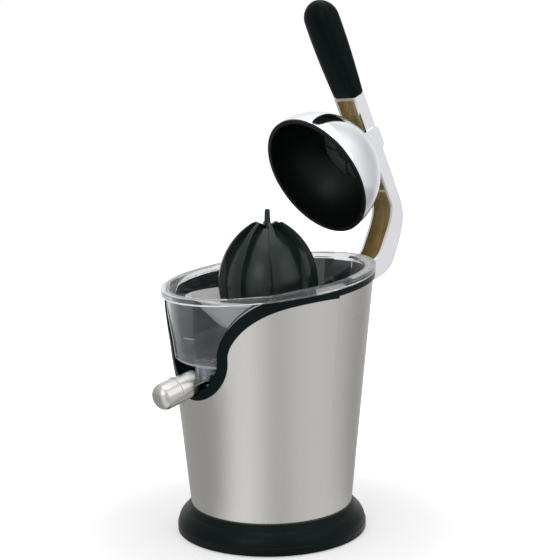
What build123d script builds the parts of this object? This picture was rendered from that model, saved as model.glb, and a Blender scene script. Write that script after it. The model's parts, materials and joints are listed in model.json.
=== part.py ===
from build123d import *
import os
from math import acos, cos, pi, radians, sin, sqrt, tan

# Electric lever citrus juicer. Millimetres, +Z up, origin on the floor under the middle of the base.
# The spout points to -Y, the lever is hinged at the +Y side and swings in the plane X = 0.

# Fits
run_fit = 0.05
loose_fit = 0.3
socket_fit = 0.1
cut_over = 2.0

# Base ring
base_flare = 6.5
base_lift = 1.0
base_band = 5.5
base_step = 0.6
base_shoulder_out = 3.5
base_shoulder_height = 17.5
base_top_over = 1.25
base_height = 22.0
base_wall = 3.0
base_ledge = 5.0

# Bottom plate, feet and plate screws
plate_thickness = 2.0
plate_inset = 1.0
vent_length = 26.0
vent_width = 3.0
vent_pitch = 7.0
vent_count = 5
foot_radius = 8.0
foot_stud_radius = 2.5
foot_inset = 20.0
screw_radius = 1.6
screw_head_radius = 3.4
screw_grip = 8.0
boss_radius = 4.5
boss_inset = 12.0
boss_turn = 45.0
foot_turn = 0.0
corner_count = 4

# Steel shell
shell_foot_radius = 64.75
shell_taper_share = 0.1015
shell_sheet = 0.8
edge_drop = 9.7
edge_tilt = 7.6
mouth_radius = 36.0
mouth_rise = 15.0
mouth_reach = 73.0
mouth_flare_drop = 5.9
mouth_bend_shares = ((0.03, 0.3), (0.5, 0.8))

# Black trim
trim_width = 7.2
trim_rise = 5.2
trim_proud = 1.2
trim_lip = 1.6

# Inner housing
liner_wall = 1.6
deck_rise = 26.0
deck_thickness = 3.0
pocket_half_width = 17.0
pocket_back = 43.0
pocket_depth = 25.0
pocket_wall = 2.0

# Cord inlet
gland_radius = 6.0
gland_bore_radius = 3.6
gland_height = 12.5
gland_length = 9.0
gland_flange_radius = 8.0
gland_flange = 1.5

# Juice bowl
bowl_rim_over = 1.56535
bowl_rise = 69.1
bowl_inset = 5.0
bowl_wall = 2.2
bowl_front_inset = 0.6
bowl_front_gap = 0.7
bowl_front_round = 3.0
bowl_floor_rise = 14.6
bowl_corner = 5.0
bowl_tube_radius = 9.5
bowl_tube_wall = 2.0
bowl_tube_over = 1.5
nub_radius = 8.0
nub_wall = 2.2
nub_place = 63.0
nub_length = 19.6
rib_thickness = 2.0
rib_angle = 38.0

# Strainer
strainer_rim_radius = 66.0
strainer_rim_width = 5.0
strainer_drop = 16.1
strainer_sheet = 0.8
strainer_floor_radius = 40.0
strainer_depth = 22.0
strainer_hole_radius = 11.0
strainer_slot_count = 32
strainer_slot_width = 1.8
strainer_slot_start = 17.0
strainer_slot_end = 34.0

# Reamer
reamer_radius = 38.7
reamer_lift = 4.5
reamer_shoulder_rise = 20.5
reamer_shoulder_radius = 11.5
reamer_skirt = 15.0
reamer_bulge_radius = 32.3
reamer_bulge_rise = 38.0
reamer_dip = 3.5
reamer_flute = 4.6
ridge_count = 8
ridge_width = 4.6
ridge_root_width = 7.0
ridge_turn = 15.0
reamer_wall = 3.0
reamer_hub_radius = 8.0
reamer_hollow_radius = 15.0
reamer_pin_radius = 3.0
reamer_pin_tip_radius = 2.0
reamer_pin_length = 10.2

# Drive shaft and its sleeve
shaft_radius = 4.0
shaft_flats = 6.8
shaft_low_rise = 3.0
shaft_low_hex_over = 5.0
shaft_shoulder_gap = 0.5
shaft_entry = 31.0
press_travel = 3.0
sleeve_radius = 6.8
sleeve_drop = 3.5
sleeve_flange_radius = 10.0
sleeve_flange = 2.0
seal_radius = 7.0
seal_height = 2.5

# Gears: a reverted train of two equal steps on the motor's own axis
gear_module = 1.2
pinion_teeth = 10
wheel_teeth = 44
pressure_angle = 20.0
gear_backlash = 0.22
addendum_share = 0.9
dedendum_share = 1.25
wheel_width = 7.0
pinion_width = 9.0
gear_rise = 5.0
wheel_hub_radius = 6.5
axle_radius = 3.0
idler_angle = 90.0

# Gearbox plates
gearbox_radius = 42.0
gearbox_rise = 11.0
gearbox_plate_thickness = 2.0
gearbox_room = 28.0
gearbox_cover_thickness = 3.0
post_radius = 3.0
post_circle = 37.0
post_angles = (0.0, 180.0, 235.0, 305.0)

# Motor
stator_height = 26.0
stator_base = 42.0
stator_half_width = 29.0
stator_front = 22.0
stator_back = 50.0
stator_limb = 12.0
stator_window = 14.0
rotor_radius = 13.0
air_gap = 0.4
motor_shaft_radius = 2.5
motor_shaft_low = 31.0
coil_margin = 5.0
coil_length = 32.0
bracket_thickness = 2.0
bracket_width = 16.0
bracket_drop = 9.0
bracket_bush_radius = 6.0

# Thrust collar, return spring and start switch
collar_radius = 11.0
spring_room = 11.0
collar_height = 4.0
collar_arm_width = 8.0
clip_radius = 6.5
clip_thickness = 0.8
guide_radius = 2.0
guide_place = 20.0
spring_radius = 9.0
spring_wire = 0.8
spring_turns = 4
switch_place = 24.0
switch_length = 20.0
switch_width = 6.4
switch_height = 7.4
switch_button_radius = 1.5

# Lever hinge
hinge_over = 0.1
hinge_drop = 5.1
hinge_pin_radius = 2.5
hinge_pin_over = 1.0
eye_radius = 6.3
tongue_half_width = 8.0
slot_half_width = 13.5
slot_under = 8.5
slot_over = 16.0
bracket_plate = 3.2
bracket_foot_rise = 2.0
bracket_foot_height = 17.0
bracket_foot_half_width = 22.0
bracket_plate_half_width = 13.0
bracket_screw_offset = 17.0

# Lever arm
arm_half_width = 12.5
arm_wall = 2.4
arm_top_back = 3.7
arm_top_rise = 146.0
arm_lean = 25.7
arm_straight = 97.6
arm_bend_back = 54.5
arm_bend_rise = 41.0
arm_elbow_back = 46.5
arm_elbow_rise = 15.2
arm_heel_back = 19.5
arm_heel_drop = 7.7
arm_facings = (0.0, -32.0, -75.0)
arm_depth = 11.0
arm_bend_depth = 14.5
arm_elbow_depth = 16.5
arm_heel_depth = 15.4
arm_rib = 2.0
arm_rib_pitch = 24.0
arm_rib_count = 2
block_half_width = 14.0
block_length = 20.0
block_place = 40.0
block_proud = 1.6
block_round = 4.5
block_reach = 12.0
tang_length = 34.0
tang_width = 14.0
tang_thickness = 5.0

# Press dome
dome_front = 33.0
dome_rise = 81.0
dome_tilt = 61.5
dome_radius = 52.0
dome_sheet = 1.2
liner_thickness = 2.0
lip_height = 1.6
cup_radius = 19.5
cup_wall = 1.8
cup_height = 3.0
dome_rib_count = 4
dome_rib_thickness = 1.6
dome_rib_height = 2.6
dome_rib_start = 6.0
dome_rib_turn = 20.0
dome_screw_radius = 2.5
dome_screw_head_radius = 4.4
dome_screw_head = 2.0
dome_screw_length = 14.0

# Grip
grip_length = 85.0
grip_places_shares = (0.0, 0.15, 0.3, 0.45, 0.6, 0.72, 0.82, 0.89, 0.94, 0.97, 0.99)
grip_foot_shares = (0.95, 0.66)
grip_corner_shares = (0.42, 0.72)
grip_swell_share = 0.72
grip_round_share = 0.7
grip_width = 27.0
grip_thickness = 20.0

# Anti-drip spout
spout_slope = 15.0
spout_radius = 10.0
spout_sheet = 1.2
spout_axis_y = 78.0
spout_drop = 7.8
spout_room = 0.6
spout_back = 20.7
spout_ring_at = 13.3
spout_ring_proud = 0.7
spout_ring_width = 1.8
spout_cover_step = 0.6
spout_seam_turn = 35.0
spout_pivot_y = 60.0
spout_pivot_drop = 9.2
spout_pin_radius = 2.0
spout_lug_radius = 4.2
spout_lug_half_width = 5.0
scoop_top_y = 76.0
scoop_front_y = 80.0
scoop_gap = 0.8
nose_radius = 10.3
nose_round = 7.4
nose_end = 31.6
outlet_radius = 5.0
outlet_at = 18.8

# Values that follow from the ones above
base_top_radius = shell_foot_radius + base_top_over
base_shoulder_radius = base_top_radius + base_shoulder_out
base_radius = base_shoulder_radius + base_flare
foot_circle = base_radius - foot_inset
boss_circle = base_radius - boss_inset
gearbox_plate_height = stator_base + stator_height + gearbox_rise
gear_base = gearbox_plate_height + gear_rise
output_base = gear_base + pinion_width
gearbox_cover_height = gearbox_plate_height + gearbox_room
cover_top = gearbox_cover_height + gearbox_cover_thickness
collar_base = cover_top + spring_room
deck_height = cover_top + deck_rise
deck_low = deck_height - deck_thickness
pocket_floor = deck_height - pocket_depth
mouth_height = deck_height + mouth_rise
bowl_rim_height = deck_height + bowl_rise
bowl_floor_height = deck_height + bowl_floor_rise
bowl_rim_radius = shell_foot_radius + shell_taper_share * (bowl_rim_height - base_height) + bowl_rim_over
edge_height = bowl_rim_height - edge_drop
mouth_flare_height = edge_height - mouth_flare_drop
strainer_rim_height = bowl_rim_height - strainer_drop
strainer_floor_height = strainer_rim_height - strainer_depth
bowl_tube_top = strainer_floor_height + bowl_tube_over
nub_bottom = bowl_floor_height - nub_length
reamer_base = bowl_tube_top + reamer_lift
reamer_skirt_height = reamer_base + reamer_skirt
reamer_bulge_height = reamer_skirt_height + reamer_bulge_rise
reamer_shoulder_height = reamer_bulge_height + reamer_shoulder_rise
reamer_tip = reamer_shoulder_height + reamer_pin_length
shaft_low = output_base + shaft_low_rise
shaft_low_hex_top = cover_top + shaft_low_hex_over
shaft_high_hex_base = reamer_base - shaft_shoulder_gap
shaft_top = reamer_base + shaft_entry
sleeve_top = bowl_tube_top - sleeve_drop
hinge_y = bowl_rim_radius + hinge_over
hinge_z = bowl_rim_height - hinge_drop
slot_low = hinge_z - slot_under
slot_high = hinge_z + slot_over
bracket_foot_low = deck_height + bracket_foot_rise
bracket_foot_high = bracket_foot_low + bracket_foot_height
arm_top_y = hinge_y + arm_top_back
arm_top_z = hinge_z + arm_top_rise
arm_bend_y = hinge_y + arm_bend_back
arm_bend_z = hinge_z + arm_bend_rise
arm_elbow_y = hinge_y + arm_elbow_back
arm_elbow_z = hinge_z + arm_elbow_rise
arm_heel_y = hinge_y + arm_heel_back
arm_heel_z = hinge_z - arm_heel_drop
dome_y = hinge_y - dome_front
dome_z = hinge_z + dome_rise
spout_axis_z = deck_height - spout_drop
spout_pivot_z = spout_axis_z - spout_pivot_drop
scoop_back_z = nub_bottom - scoop_gap
reach = base_radius * 4
base_bulge = base_step * 2
stand = (Align.CENTER, Align.CENTER, Align.MIN)
gland_face = base_shoulder_radius + gland_length / 2
plate_low = base_lift + plate_inset
plate_high = plate_low + plate_thickness
wheel_radius = gear_module * wheel_teeth / 2
pinion_radius = gear_module * pinion_teeth / 2
centre_distance = wheel_radius + pinion_radius
idler_place = (centre_distance * cos(radians(idler_angle)), centre_distance * sin(radians(idler_angle)))
liner_face = shell_sheet + loose_fit
liner_back = liner_face + liner_wall
switch_floor = cover_top + gearbox_plate_thickness
lean = radians(arm_lean)
arm_up = (-sin(lean), cos(lean))
arm_back = (cos(lean), sin(lean))
arm_plane = Plane(origin=(0, arm_top_y, arm_top_z), x_dir=(1, 0, 0), z_dir=(0, *arm_up))
tilt = radians(dome_tilt)
dome_plane = Plane(origin=(0, dome_y, dome_z), x_dir=(1, 0, 0), z_dir=(0, sin(tilt), cos(tilt)))
liner_inner = dome_radius - dome_sheet - socket_fit - liner_thickness
dome_screw_seat = sqrt(liner_inner ** 2 - dome_screw_head_radius ** 2)
slope = radians(spout_slope)
spout_forward = (0, -cos(slope), -sin(slope))
spout_plane = Plane(origin=(0, -spout_axis_y, spout_axis_z), x_dir=(1, 0, 0), z_dir=spout_forward)
body_top = bowl_rim_height + trim_width * 2


# Helpers
def shell_radius(height):
    return shell_foot_radius + shell_taper_share * (height - base_height)


def cone(inset, low, high):
    """A solid cone lying inset inside the shell's outer face."""
    low_radius = shell_radius(low) - inset
    high_radius = shell_radius(high) - inset
    return Pos(0, 0, low) * Cone(low_radius, high_radius, high - low, align=stand)


def wall(face, back, low, high):
    """A conical wall between two insets from the shell's outer face."""
    return cone(face, low, high) - cone(back, low, high)


def post(radius, low, high, x=0, y=0):
    return Pos(x, y, low) * Cylinder(radius, high - low, align=stand)


def ring(outer, inner, low, high, x=0, y=0):
    return post(outer, low, high, x, y) - post(inner, low - cut_over, high + cut_over, x, y)


def above(height):
    """Everything over the slanted plane that crosses the axis at this height."""
    return Pos(0, 0, height) * Rot(edge_tilt, 0, 0) * Box(reach, reach, reach, align=stand)


def between(low, high):
    """A slanted slab between two such planes."""
    return above(low) - above(high)


def around(radius, count, turn=0):
    """Places on a circle about the axis."""
    angles = [radians(turn + 360 * step / count) for step in range(count)]
    return [(radius * cos(angle), radius * sin(angle)) for angle in angles]


def spun(*points):
    """A solid turned from a closed outline of radii and heights."""
    return revolve(Plane.XZ * make_face(Polyline(*points, close=True)), Axis.Z)


def mouth(inset, rise):
    """The front opening: a round foot whose sides flare into the slanted edge, as a prism to the front."""
    radius = mouth_radius - inset
    end_x = mouth_reach - inset
    end_z = mouth_flare_height + rise
    span = end_x - radius
    climb = end_z - mouth_height
    low, high = mouth_bend_shares
    first = (radius + span * low[0], mouth_height + climb * low[1])
    second = (radius + span * high[0], mouth_height + climb * high[1])
    slope = (end_z - second[1]) / (end_x - second[0])
    far = end_x + mouth_radius
    top = mouth_height + reach
    foot = (0, mouth_height - radius)
    bow = (radius * sin(pi / 4), mouth_height - radius * cos(pi / 4))
    outline = ThreePointArc(foot, bow, (radius, mouth_height))
    outline += Bezier((radius, mouth_height), first, second, (end_x, end_z))
    outline += Polyline((end_x, end_z), (far, end_z + slope * mouth_radius), (far, top), (0, top), foot)
    half = make_face(outline)
    return extrude(Plane.XZ * (half + mirror(half, Plane.YZ)), amount=reach)


def hinge_slot():
    """The rear slot that the lever's ears reach through."""
    size = (2 * slot_half_width, reach, slot_high - slot_low)
    return Pos(0, 0, slot_low) * Box(*size, align=(Align.CENTER, Align.MIN, Align.MIN))


# Base and floor
def base_ring():
    band_top = base_lift + base_band
    edge = (base_radius - base_step, band_top + base_step)
    shoulder = (base_shoulder_radius, base_shoulder_height)
    bow = ((edge[0] + shoulder[0]) / 2 + base_bulge, (edge[1] + shoulder[1]) / 2 + base_bulge / 2)
    ledge = base_top_radius - base_ledge
    under = base_shoulder_height - base_wall
    inner = base_radius - base_wall
    outline = Polyline((inner, base_lift), (base_radius, base_lift), (base_radius, band_top), edge)
    outline += ThreePointArc(edge, bow, shoulder)
    outline += Polyline(shoulder, (base_top_radius, base_height), (ledge, base_height), (ledge, under),
                        (shoulder[0] - base_wall, under), (inner, band_top), (inner, base_lift))
    body = revolve(Plane.XZ * make_face(outline), Axis.Z)
    for x, y in around(boss_circle, corner_count, boss_turn):
        body += post(boss_radius, plate_high, base_shoulder_height, x, y)
        body -= post(screw_radius + run_fit, plate_high - cut_over, plate_high + screw_grip, x, y)
    return body - gland_seat(gland_radius, 0) - gland_seat(gland_flange_radius, gland_face)


def gland_seat(radius, start):
    """A round cut to the rear for the cord inlet, from this distance behind the axis."""
    hole = Cylinder(radius + socket_fit, reach, align=stand)
    return Pos(0, start, gland_height) * Rot(-90, 0, 0) * hole


def bottom_plate():
    body = post(base_radius - base_wall - loose_fit, plate_low, plate_high)
    for x, y in around(boss_circle, corner_count, boss_turn):
        body -= post(screw_radius + socket_fit, 0, base_height, x, y)
    for x, y in around(foot_circle, corner_count, foot_turn):
        body -= post(foot_stud_radius, 0, base_height, x, y)
    for step in range(vent_count):
        y = (step - (vent_count - 1) / 2) * vent_pitch
        body -= Pos(0, y, plate_low) * Box(vent_length, vent_width, base_height)
    return body


def rubber_feet():
    return [post(foot_radius, 0, plate_low, x, y) + post(foot_stud_radius, plate_low, plate_high, x, y)
            for x, y in around(foot_circle, corner_count, foot_turn)]


def base_screws():
    return [post(screw_head_radius, plate_low - plate_inset, plate_low, x, y)
            + post(screw_radius, plate_low, plate_high + screw_grip, x, y)
            for x, y in around(boss_circle, corner_count, boss_turn)]


def cord_gland():
    """The cord's inlet: a flanged bush in the rear of the base ring."""
    body = Cylinder(gland_radius, gland_length, align=stand)
    body += Pos(0, 0, gland_length) * Cylinder(gland_flange_radius, gland_flange, align=stand)
    body -= Cylinder(gland_bore_radius, reach)
    return Pos(0, gland_face - gland_length, gland_height) * Rot(-90, 0, 0) * body


# Outer body
def steel_shell():
    body = wall(0, shell_sheet, base_height, body_top)
    return body - mouth(0, 0) - above(edge_height) - hinge_slot()


def trim_ring():
    body = wall(-trim_proud, shell_sheet + trim_lip, mouth_height - mouth_radius, body_top)
    body = body & (mouth(0, 0) + above(edge_height))
    body -= mouth(trim_width, trim_rise) + above(edge_height + trim_rise)
    body -= spout_plane * post(spout_radius + spout_room, -reach, reach)
    return body - hinge_slot()


# Inner housing, hinge bracket and what is screwed to them
def rear_strip(half_width, low, high):
    """A strip over the rear of the body, used to cut or keep."""
    size = (2 * half_width, reach, high - low)
    return Pos(0, 0, low) * Box(*size, align=(Align.CENTER, Align.MIN, Align.MIN))


def front_box(half_width, back, low, high):
    """A box in front of the axis that starts at this distance from it."""
    size = (2 * half_width, reach, high - low)
    return Pos(0, -back, low) * Box(*size, align=(Align.CENTER, Align.MAX, Align.MIN))


def post_places():
    angles = [radians(angle) for angle in post_angles]
    return [(post_circle * cos(angle), post_circle * sin(angle)) for angle in angles]


def inner_housing():
    """The black moulding inside the steel: liner, motor deck and the pocket under the bowl's outlet."""
    body = wall(liner_face, liner_back, base_height, body_top) - mouth(0, 0) - above(edge_height)
    body -= rear_strip(slot_half_width, bracket_foot_high, body_top)
    deck = cone(liner_face, deck_low, deck_height)
    pocket = front_box(pocket_half_width + pocket_wall, pocket_back - pocket_wall, pocket_floor, deck_height)
    pocket = pocket & cone(liner_face, pocket_floor, deck_height)
    room = front_box(pocket_half_width, pocket_back, pocket_floor + pocket_wall, deck_height + cut_over)
    trim_back = shell_sheet + trim_lip + loose_fit
    behind_trim = mouth(0, 0) - cone(trim_back, pocket_floor - cut_over, deck_height + cut_over)
    body += (deck + pocket) - room - behind_trim
    body -= mouth(0, 0) & front_box(pocket_half_width, pocket_back, pocket_floor + pocket_wall, body_top)
    body -= post(sleeve_radius + socket_fit, deck_low - cut_over, deck_height + cut_over)
    for x, y in post_places():
        body += post(boss_radius, cover_top, deck_low, x, y)
    for x, z in bracket_screw_places():
        body -= bracket_screw_hole(screw_radius + socket_fit, x, z)
    side = spout_pivot_pin(spout_pin_radius + run_fit, pocket_half_width + pocket_wall + cut_over)
    return body - side


def spout_pivot_pin(radius, half_length):
    pin = Rot(0, 90, 0) * Cylinder(radius, 2 * half_length)
    return Pos(0, -spout_pivot_y, spout_pivot_z) * pin


def spout_pin():
    return spout_pivot_pin(spout_pin_radius, pocket_half_width + pocket_wall)


def bracket_screw_places():
    middle = (bracket_foot_low + bracket_foot_high) / 2
    return [(-bracket_screw_offset, middle), (bracket_screw_offset, middle)]


def bracket_screw_hole(radius, x, z):
    hole = Cylinder(radius, shell_radius(z) - liner_face, align=stand)
    return Pos(x, 0, z) * Rot(-90, 0, 0) * hole


def hinge_bracket():
    """A casting that fills the liner's rear slot, with a wide foot inside and the hinge tongue outside."""
    back = liner_face + bracket_plate
    plate = wall(liner_face, back, bracket_foot_low, slot_low)
    plate = plate & rear_strip(bracket_plate_half_width, bracket_foot_high, slot_low)
    foot = wall(liner_back + socket_fit, back + bracket_plate, bracket_foot_low, bracket_foot_high + cut_over)
    foot = foot & rear_strip(bracket_foot_half_width, bracket_foot_low, bracket_foot_high + cut_over)
    inside = shell_radius(hinge_z) - back
    low = slot_low - bracket_plate * 2
    eye = (hinge_y, hinge_z)
    cheek = Polyline((inside, low), (shell_radius(low) - liner_back, low),
                     (shell_radius(slot_low) - liner_back, slot_low), (hinge_y, hinge_z - eye_radius),
                     eye, (inside, hinge_z), close=True)
    cheek = make_face(cheek)
    cheek += Pos(*eye) * Circle(eye_radius)
    tongue = extrude(Plane.YZ * cheek, amount=tongue_half_width, both=True)
    body = plate + foot + tongue - hinge_bar(hinge_pin_radius + run_fit, arm_half_width + cut_over)
    for x, z in bracket_screw_places():
        body -= bracket_screw_hole(screw_radius + socket_fit, x, z)
    return body


def hinge_bar(radius, half_length):
    return Pos(0, hinge_y, hinge_z) * Rot(0, 90, 0) * Cylinder(radius, 2 * half_length)


def bracket_screws():
    """Screws from inside, through the bracket's foot into the liner."""
    screws = []
    for x, z in bracket_screw_places():
        depth = liner_back + bracket_plate * 2
        head_y = sqrt((shell_radius(z) - depth) ** 2 - x ** 2) - screw_head_radius * shell_taper_share
        tip = shell_radius(z) - liner_face - liner_wall
        shank = Cylinder(screw_radius, sqrt(tip ** 2 - x ** 2) - head_y, align=stand)
        head = Pos(0, 0, -plate_inset) * Cylinder(screw_head_radius, plate_inset, align=stand)
        screws.append(Pos(x, head_y, z) * Rot(-90, 0, 0) * (shank + head))
    return screws


# Bowl and strainer
def bowl_cup(inset, floor):
    """The bowl's inside or outside form, with its rounded foot."""
    low = pocket_floor
    high = bowl_rim_height + trim_width * 3
    body = cone(inset, low, high) & between(floor, bowl_rim_height + trim_width)
    return fillet(body.edges().sort_by(Axis.Z)[0], bowl_corner - inset + bowl_inset)


def bowl_opening(inset):
    """The room that the trim leaves for the bowl in the front opening."""
    return mouth(trim_width + bowl_front_gap + inset, trim_rise + bowl_front_gap + inset)


def bowl_front(inset):
    """The bowl's front, which fills the opening out to the shell's own face."""
    body = cone(bowl_front_inset + inset, pocket_floor, bowl_rim_height + trim_width * 3) & bowl_opening(inset)
    body = body & between(bowl_floor_height + inset, bowl_rim_height + trim_width)
    foot = body.faces().sort_by(Axis.Z)[0]
    front = foot.edges().sort_by(Axis.Y)[0]
    return fillet(front, bowl_front_round)


def juice_bowl():
    outer = bowl_cup(bowl_inset, bowl_floor_height) + bowl_front(0) - above(bowl_rim_height)
    inner = bowl_cup(bowl_inset + bowl_wall, bowl_floor_height + bowl_wall) + bowl_front(bowl_wall)
    rim = post(bowl_rim_radius, deck_height, bowl_rim_height * 2)
    body = outer + (rim & between(edge_height + trim_rise, bowl_rim_height)) - inner
    tube = post(bowl_tube_radius, deck_height, bowl_tube_top) & above(bowl_floor_height)
    nub = post(nub_radius, nub_bottom, mouth_height, 0, -nub_place) - above(bowl_floor_height + bowl_wall / 2)
    body += tube
    body += nub
    for turn in (rib_angle, 180 - rib_angle, 180 + rib_angle, -rib_angle):
        plate = Pos(strainer_rim_radius - strainer_rim_width / 2, 0, deck_height) * Box(
            mouth_radius, rib_thickness, strainer_rim_height - strainer_sheet - deck_height,
            align=(Align.MIN, Align.CENTER, Align.MIN))
        body += (Rot(0, 0, turn) * plate) & outer
    body -= post(bowl_tube_radius - bowl_tube_wall, deck_low, bowl_rim_height)
    body -= post(nub_radius - nub_wall, deck_low - nub_radius, strainer_floor_height, 0, -nub_place)
    return body


def strainer():
    rim_in = strainer_rim_radius - strainer_rim_width
    top = strainer_rim_height
    low = strainer_floor_height
    sheet = strainer_sheet
    body = spun((strainer_rim_radius, top), (rim_in, top), (strainer_floor_radius - sheet, low),
                (strainer_hole_radius, low), (strainer_hole_radius, low - sheet),
                (strainer_floor_radius, low - sheet), (rim_in + sheet, top - sheet),
                (strainer_rim_radius, top - sheet))
    length = strainer_slot_end - strainer_slot_start
    middle = (strainer_slot_end + strainer_slot_start) / 2
    slots = [Rot(0, 0, 360 * step / strainer_slot_count) * Pos(middle, 0, low)
             * Box(length, strainer_slot_width, cut_over * 2) for step in range(strainer_slot_count)]
    return body - slots


# Reamer and drive shaft
def ogive(inset):
    """The reamer's turned form, this far inside the tips of its ridges."""
    radius = reamer_radius - inset
    shoulder = (reamer_shoulder_radius - inset / 2, reamer_shoulder_height - inset)
    bulge = (reamer_bulge_radius - inset, reamer_bulge_height - inset / 2)
    outline = Polyline((0, reamer_base), (radius, reamer_base), (radius, reamer_skirt_height))
    outline += ThreePointArc((radius, reamer_skirt_height), bulge, shoulder)
    outline += Polyline(shoulder, (0, reamer_shoulder_height - reamer_dip - inset), (0, reamer_base))
    return revolve(Plane.XZ * make_face(outline), Axis.Z)


def hexagon_bar(flats, low, high):
    return Pos(0, 0, low) * extrude(RegularPolygon(flats / 2, 6, major_radius=False), amount=high - low)


def reamer_cone():
    core = reamer_radius - reamer_flute
    half_root = ridge_root_width / 2
    ridge = Polyline((0, 0), (core, -half_root), (reamer_radius + cut_over, -ridge_width / 2),
                     (reamer_radius + cut_over, ridge_width / 2), (core, half_root), close=True)
    ridge = Pos(0, 0, reamer_base) * extrude(make_face(ridge), amount=reach)
    star = [Rot(0, 0, ridge_turn + 360 * step / ridge_count) * ridge for step in range(ridge_count)]
    body = ogive(reamer_flute) + (ogive(0) & (star[0] + star[1:]))
    pin_low = reamer_shoulder_height - reamer_flute * 2
    pin = Cone(reamer_pin_radius, reamer_pin_tip_radius, reamer_tip - pin_low, align=stand)
    pin = fillet(pin.edges().sort_by(Axis.Z)[-1], reamer_pin_tip_radius / 2)
    body += Pos(0, 0, pin_low) * pin
    inside = core - reamer_wall
    body -= spun((reamer_hub_radius, reamer_base), (inside, reamer_base), (inside, reamer_skirt_height),
                 (reamer_hollow_radius, reamer_bulge_height), (reamer_hub_radius, reamer_bulge_height))
    return body - hexagon_bar(shaft_flats + socket_fit * 2, reamer_base, shaft_top + loose_fit)


def drive_shaft():
    body = hexagon_bar(shaft_flats, shaft_low, shaft_low_hex_top)
    body += post(shaft_radius, shaft_low_hex_top, shaft_high_hex_base)
    return body + hexagon_bar(shaft_flats, shaft_high_hex_base, shaft_top)


def shaft_clips():
    """Rings on the shaft above and below the thrust collar."""
    high = collar_base + collar_height + run_fit
    low = collar_base - run_fit
    return [ring(clip_radius, shaft_radius, high, high + clip_thickness),
            ring(clip_radius, shaft_radius, low - clip_thickness, low)]


def shaft_sleeve():
    body = post(sleeve_radius, deck_low, sleeve_top)
    body += post(sleeve_flange_radius, deck_height, deck_height + sleeve_flange)
    return body - post(shaft_radius + run_fit, deck_low - cut_over, sleeve_top + cut_over)


def shaft_seal():
    return ring(seal_radius, shaft_radius + run_fit, sleeve_top, sleeve_top + seal_height)


# Thrust collar, return spring and start switch
def thrust_collar():
    """The ring that carries the shaft's push; one arm works the switch, the other runs on a guide pin."""
    high = collar_base + collar_height
    body = post(collar_radius, collar_base, high)
    for place, side in ((switch_place, 1), (guide_place, -1)):
        size = (place, collar_arm_width, collar_height)
        body += Pos(side * place / 2, 0, collar_base) * Box(*size, align=stand)
        body += post(collar_arm_width / 2, collar_base, high, side * place)
    body -= post(guide_radius + run_fit, 0, reach, -guide_place)
    return body - post(shaft_radius + run_fit, 0, reach)


def guide_pin():
    return post(guide_radius, cover_top, collar_base + collar_height * 2, -guide_place)


def spring_point(share):
    turn = 2 * pi * spring_turns * share
    low = cover_top + spring_wire
    climb = collar_base - cover_top - spring_wire * 2
    return (spring_radius * cos(turn), spring_radius * sin(turn), low + climb * share)


def return_spring():
    steps = spring_turns * 4
    path = Wire([ThreePointArc(spring_point(step / steps), spring_point((step + 0.5) / steps),
                               spring_point((step + 1) / steps)) for step in range(steps)])
    section = Plane(origin=path @ 0, z_dir=path % 0) * Circle(spring_wire)
    gap = (collar_base - cover_top - spring_wire * 2) / spring_turns - spring_wire * 2
    print("return spring: least gap between turns", round(gap, 2))
    return sweep(section, path=path)


def switch_body():
    block = Pos(switch_place, 0, cover_top) * Box(switch_width, switch_length, switch_height, align=stand)
    return block - post(switch_button_radius + run_fit, switch_floor, reach, switch_place)


def switch_plunger():
    return post(switch_button_radius, switch_floor + press_travel + loose_fit, collar_base, switch_place)


# Gears and gearbox
def gear(teeth, low, width):
    """A spur gear with involute flanks, each drawn through its root, pitch and tip."""
    pitch = gear_module * teeth / 2
    base_circle = pitch * cos(radians(pressure_angle))
    tip = pitch + addendum_share * gear_module
    root = pitch - dedendum_share * gear_module

    def half_tooth(radius):
        turn = acos(min(1, base_circle / radius))
        start = radians(pressure_angle)
        return pi / (2 * teeth) - gear_backlash / (2 * pitch) + tan(start) - start - tan(turn) + turn

    points = []
    for tooth in range(teeth):
        middle = 2 * pi * tooth / teeth
        for radius, side in ((root, -1), (pitch, -1), (tip, -1), (tip, 1), (pitch, 1), (root, 1)):
            angle = middle + side * half_tooth(radius)
            points.append((radius * cos(angle), radius * sin(angle)))
    return Pos(0, 0, low) * extrude(make_face(Polyline(*points, close=True)), amount=width)


def output_gear():
    body = gear(wheel_teeth, output_base, wheel_width) + post(wheel_hub_radius, output_base, cover_top)
    return body - hexagon_bar(shaft_flats + socket_fit * 2, output_base - cut_over, cover_top + cut_over)


def idler_gear():
    pinion_low = gear_base + wheel_width
    body = gear(wheel_teeth, gear_base, wheel_width)
    body += gear(pinion_teeth, pinion_low, output_base + wheel_width - pinion_low + loose_fit)
    body -= post(axle_radius + run_fit, gear_base - cut_over, cover_top)
    return Pos(*idler_place, 0) * body


def idler_axle():
    return post(axle_radius, gearbox_plate_height, cover_top, *idler_place)


def gearbox_plate():
    high = gearbox_plate_height + gearbox_plate_thickness
    body = ring(gearbox_radius, pinion_radius + gear_module * 2, gearbox_plate_height, high)
    return body - post(axle_radius, 0, reach, *idler_place)


def gearbox_cover():
    body = ring(gearbox_radius, wheel_hub_radius + run_fit, gearbox_cover_height, cover_top)
    return body - post(axle_radius, 0, reach, *idler_place)


def gearbox_posts():
    low = gearbox_plate_height + gearbox_plate_thickness
    return [post(post_radius, low, gearbox_cover_height, x, y) for x, y in post_places()]


# Motor
def slab(half_width, front, back, low, high):
    """A block between two distances in front of and behind the axis."""
    size = (2 * half_width, front + back, high - low)
    return Pos(0, (back - front) / 2, low) * Box(*size, align=stand)


def motor_stator():
    """The lamination stack of a shaded-pole motor, with its rotor bore and coil window."""
    high = stator_base + stator_height
    body = slab(stator_half_width, stator_front, stator_back, stator_base, high)
    window_back = stator_back - stator_limb
    body -= slab(stator_half_width - stator_limb, stator_window - window_back, window_back, 0, reach)
    return body - post(rotor_radius + air_gap, 0, reach)


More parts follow.
